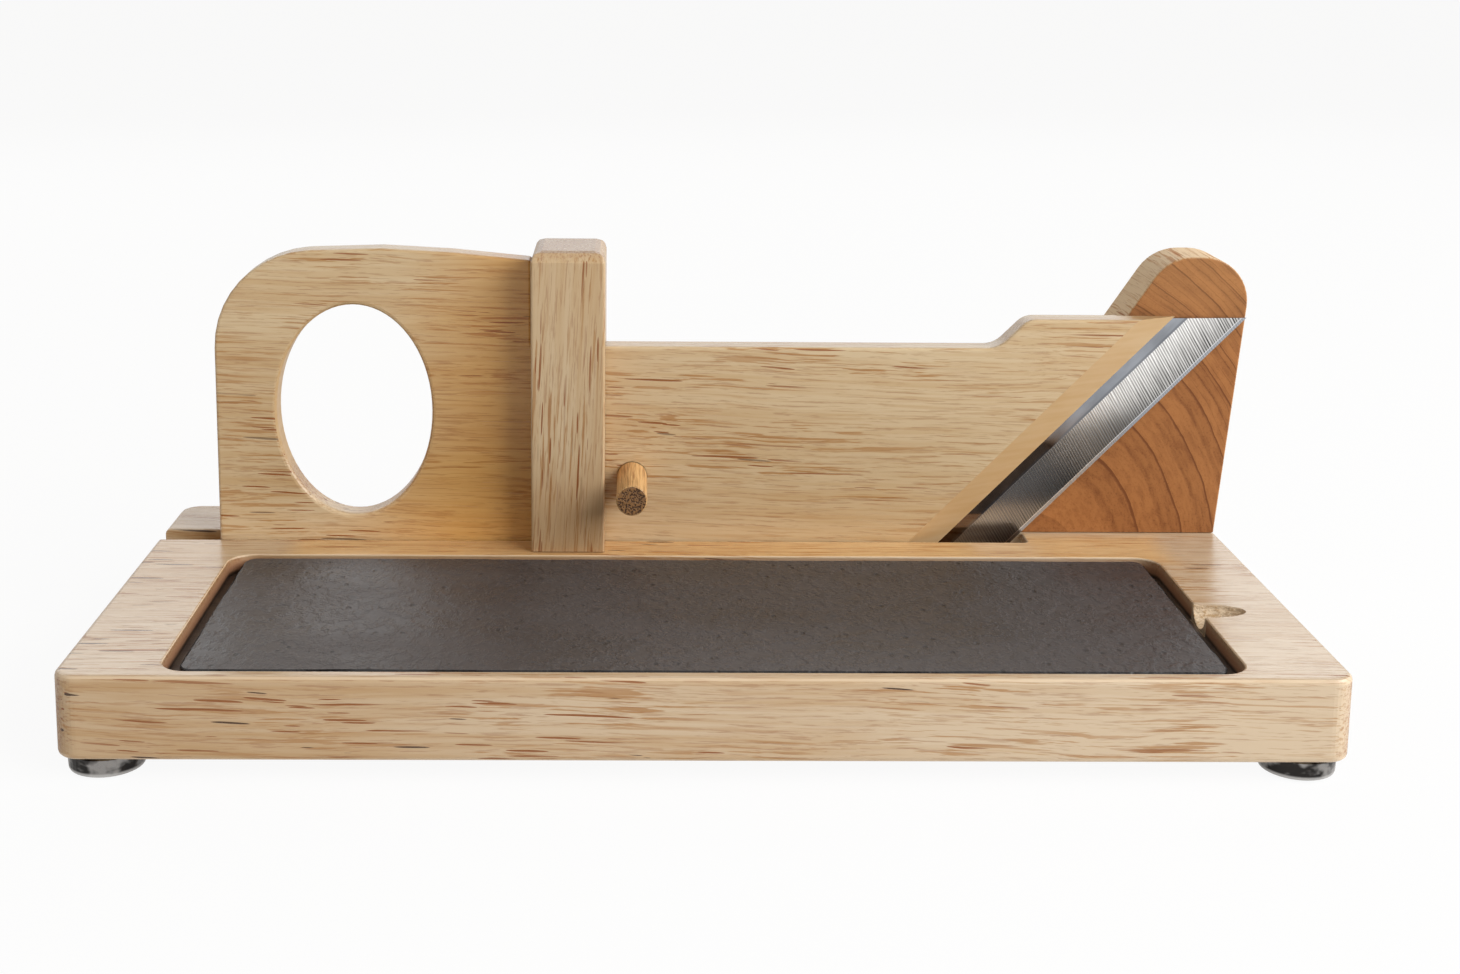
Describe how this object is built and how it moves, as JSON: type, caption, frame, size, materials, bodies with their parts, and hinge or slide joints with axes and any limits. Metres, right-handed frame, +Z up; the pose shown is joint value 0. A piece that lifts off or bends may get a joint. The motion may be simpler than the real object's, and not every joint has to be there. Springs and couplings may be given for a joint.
{
  "type": "sausage guillotine",
  "caption": "Wooden sausage cutter: board with an inlaid slate, a guide post, and a sliding slanted blade that cuts against an upright block.",
  "frame": {"origin": "centre of the bounding box, at the level of the feet", "axes": "+X along the board towards the cutting block, +Y from the slate towards the slider and away from the user, +Z up"},
  "size_m": [0.3742, 0.165, 0.1341],
  "materials": {
    "pale_hardwood": "oiled, fine open grain",
    "block_wood": "oiled end grain",
    "dowel_wood": "plain dowel",
    "slate": "cleft, with chipped edges",
    "blade_steel": "ground across the edge",
    "screw_steel": "plain",
    "foot_steel": "polished",
    "pad_rubber": "matte"
  },
  "bodies": {
    "board": {"base_board": "pale_hardwood", "guide_post": "pale_hardwood", "cutting_block": "block_wood", "post_screw_front": "screw_steel", "post_screw_rear": "screw_steel", "block_screw_inner": "screw_steel", "block_screw_outer": "screw_steel", "foot_front_left": "foot_steel", "foot_front_right": "foot_steel", "foot_rear_left": "foot_steel", "foot_rear_right": "foot_steel", "foot_pad_front_left": "pad_rubber", "foot_pad_front_right": "pad_rubber", "foot_pad_rear_left": "pad_rubber", "foot_pad_rear_right": "pad_rubber", "foot_screw_front_left": "screw_steel", "foot_screw_front_right": "screw_steel", "foot_screw_rear_left": "screw_steel", "foot_screw_rear_right": "screw_steel"},
    "slider": {"slider_board": "pale_hardwood", "blade": "blade_steel", "blade_screw_1": "screw_steel", "blade_screw_2": "screw_steel", "blade_screw_3": "screw_steel"},
    "slate": {"slate_plate": "slate"},
    "pin": {"lock_pin": "dowel_wood"}
  },
  "joints": [
    {"name": "slider_slide", "type": "slide", "parent": "board", "child": "slider", "axis": [-1, 0, 0], "range_m": [0, 0.131]},
    {"name": "lock_pin_pull", "type": "slide", "parent": "board", "child": "pin", "axis": [0, -1, 0], "range_m": [0, 0.04]},
    {"name": "slate_lift", "type": "slide", "parent": "board", "child": "slate", "axis": [0, 0, 1], "range_m": [0, 0.015]}
  ]
}
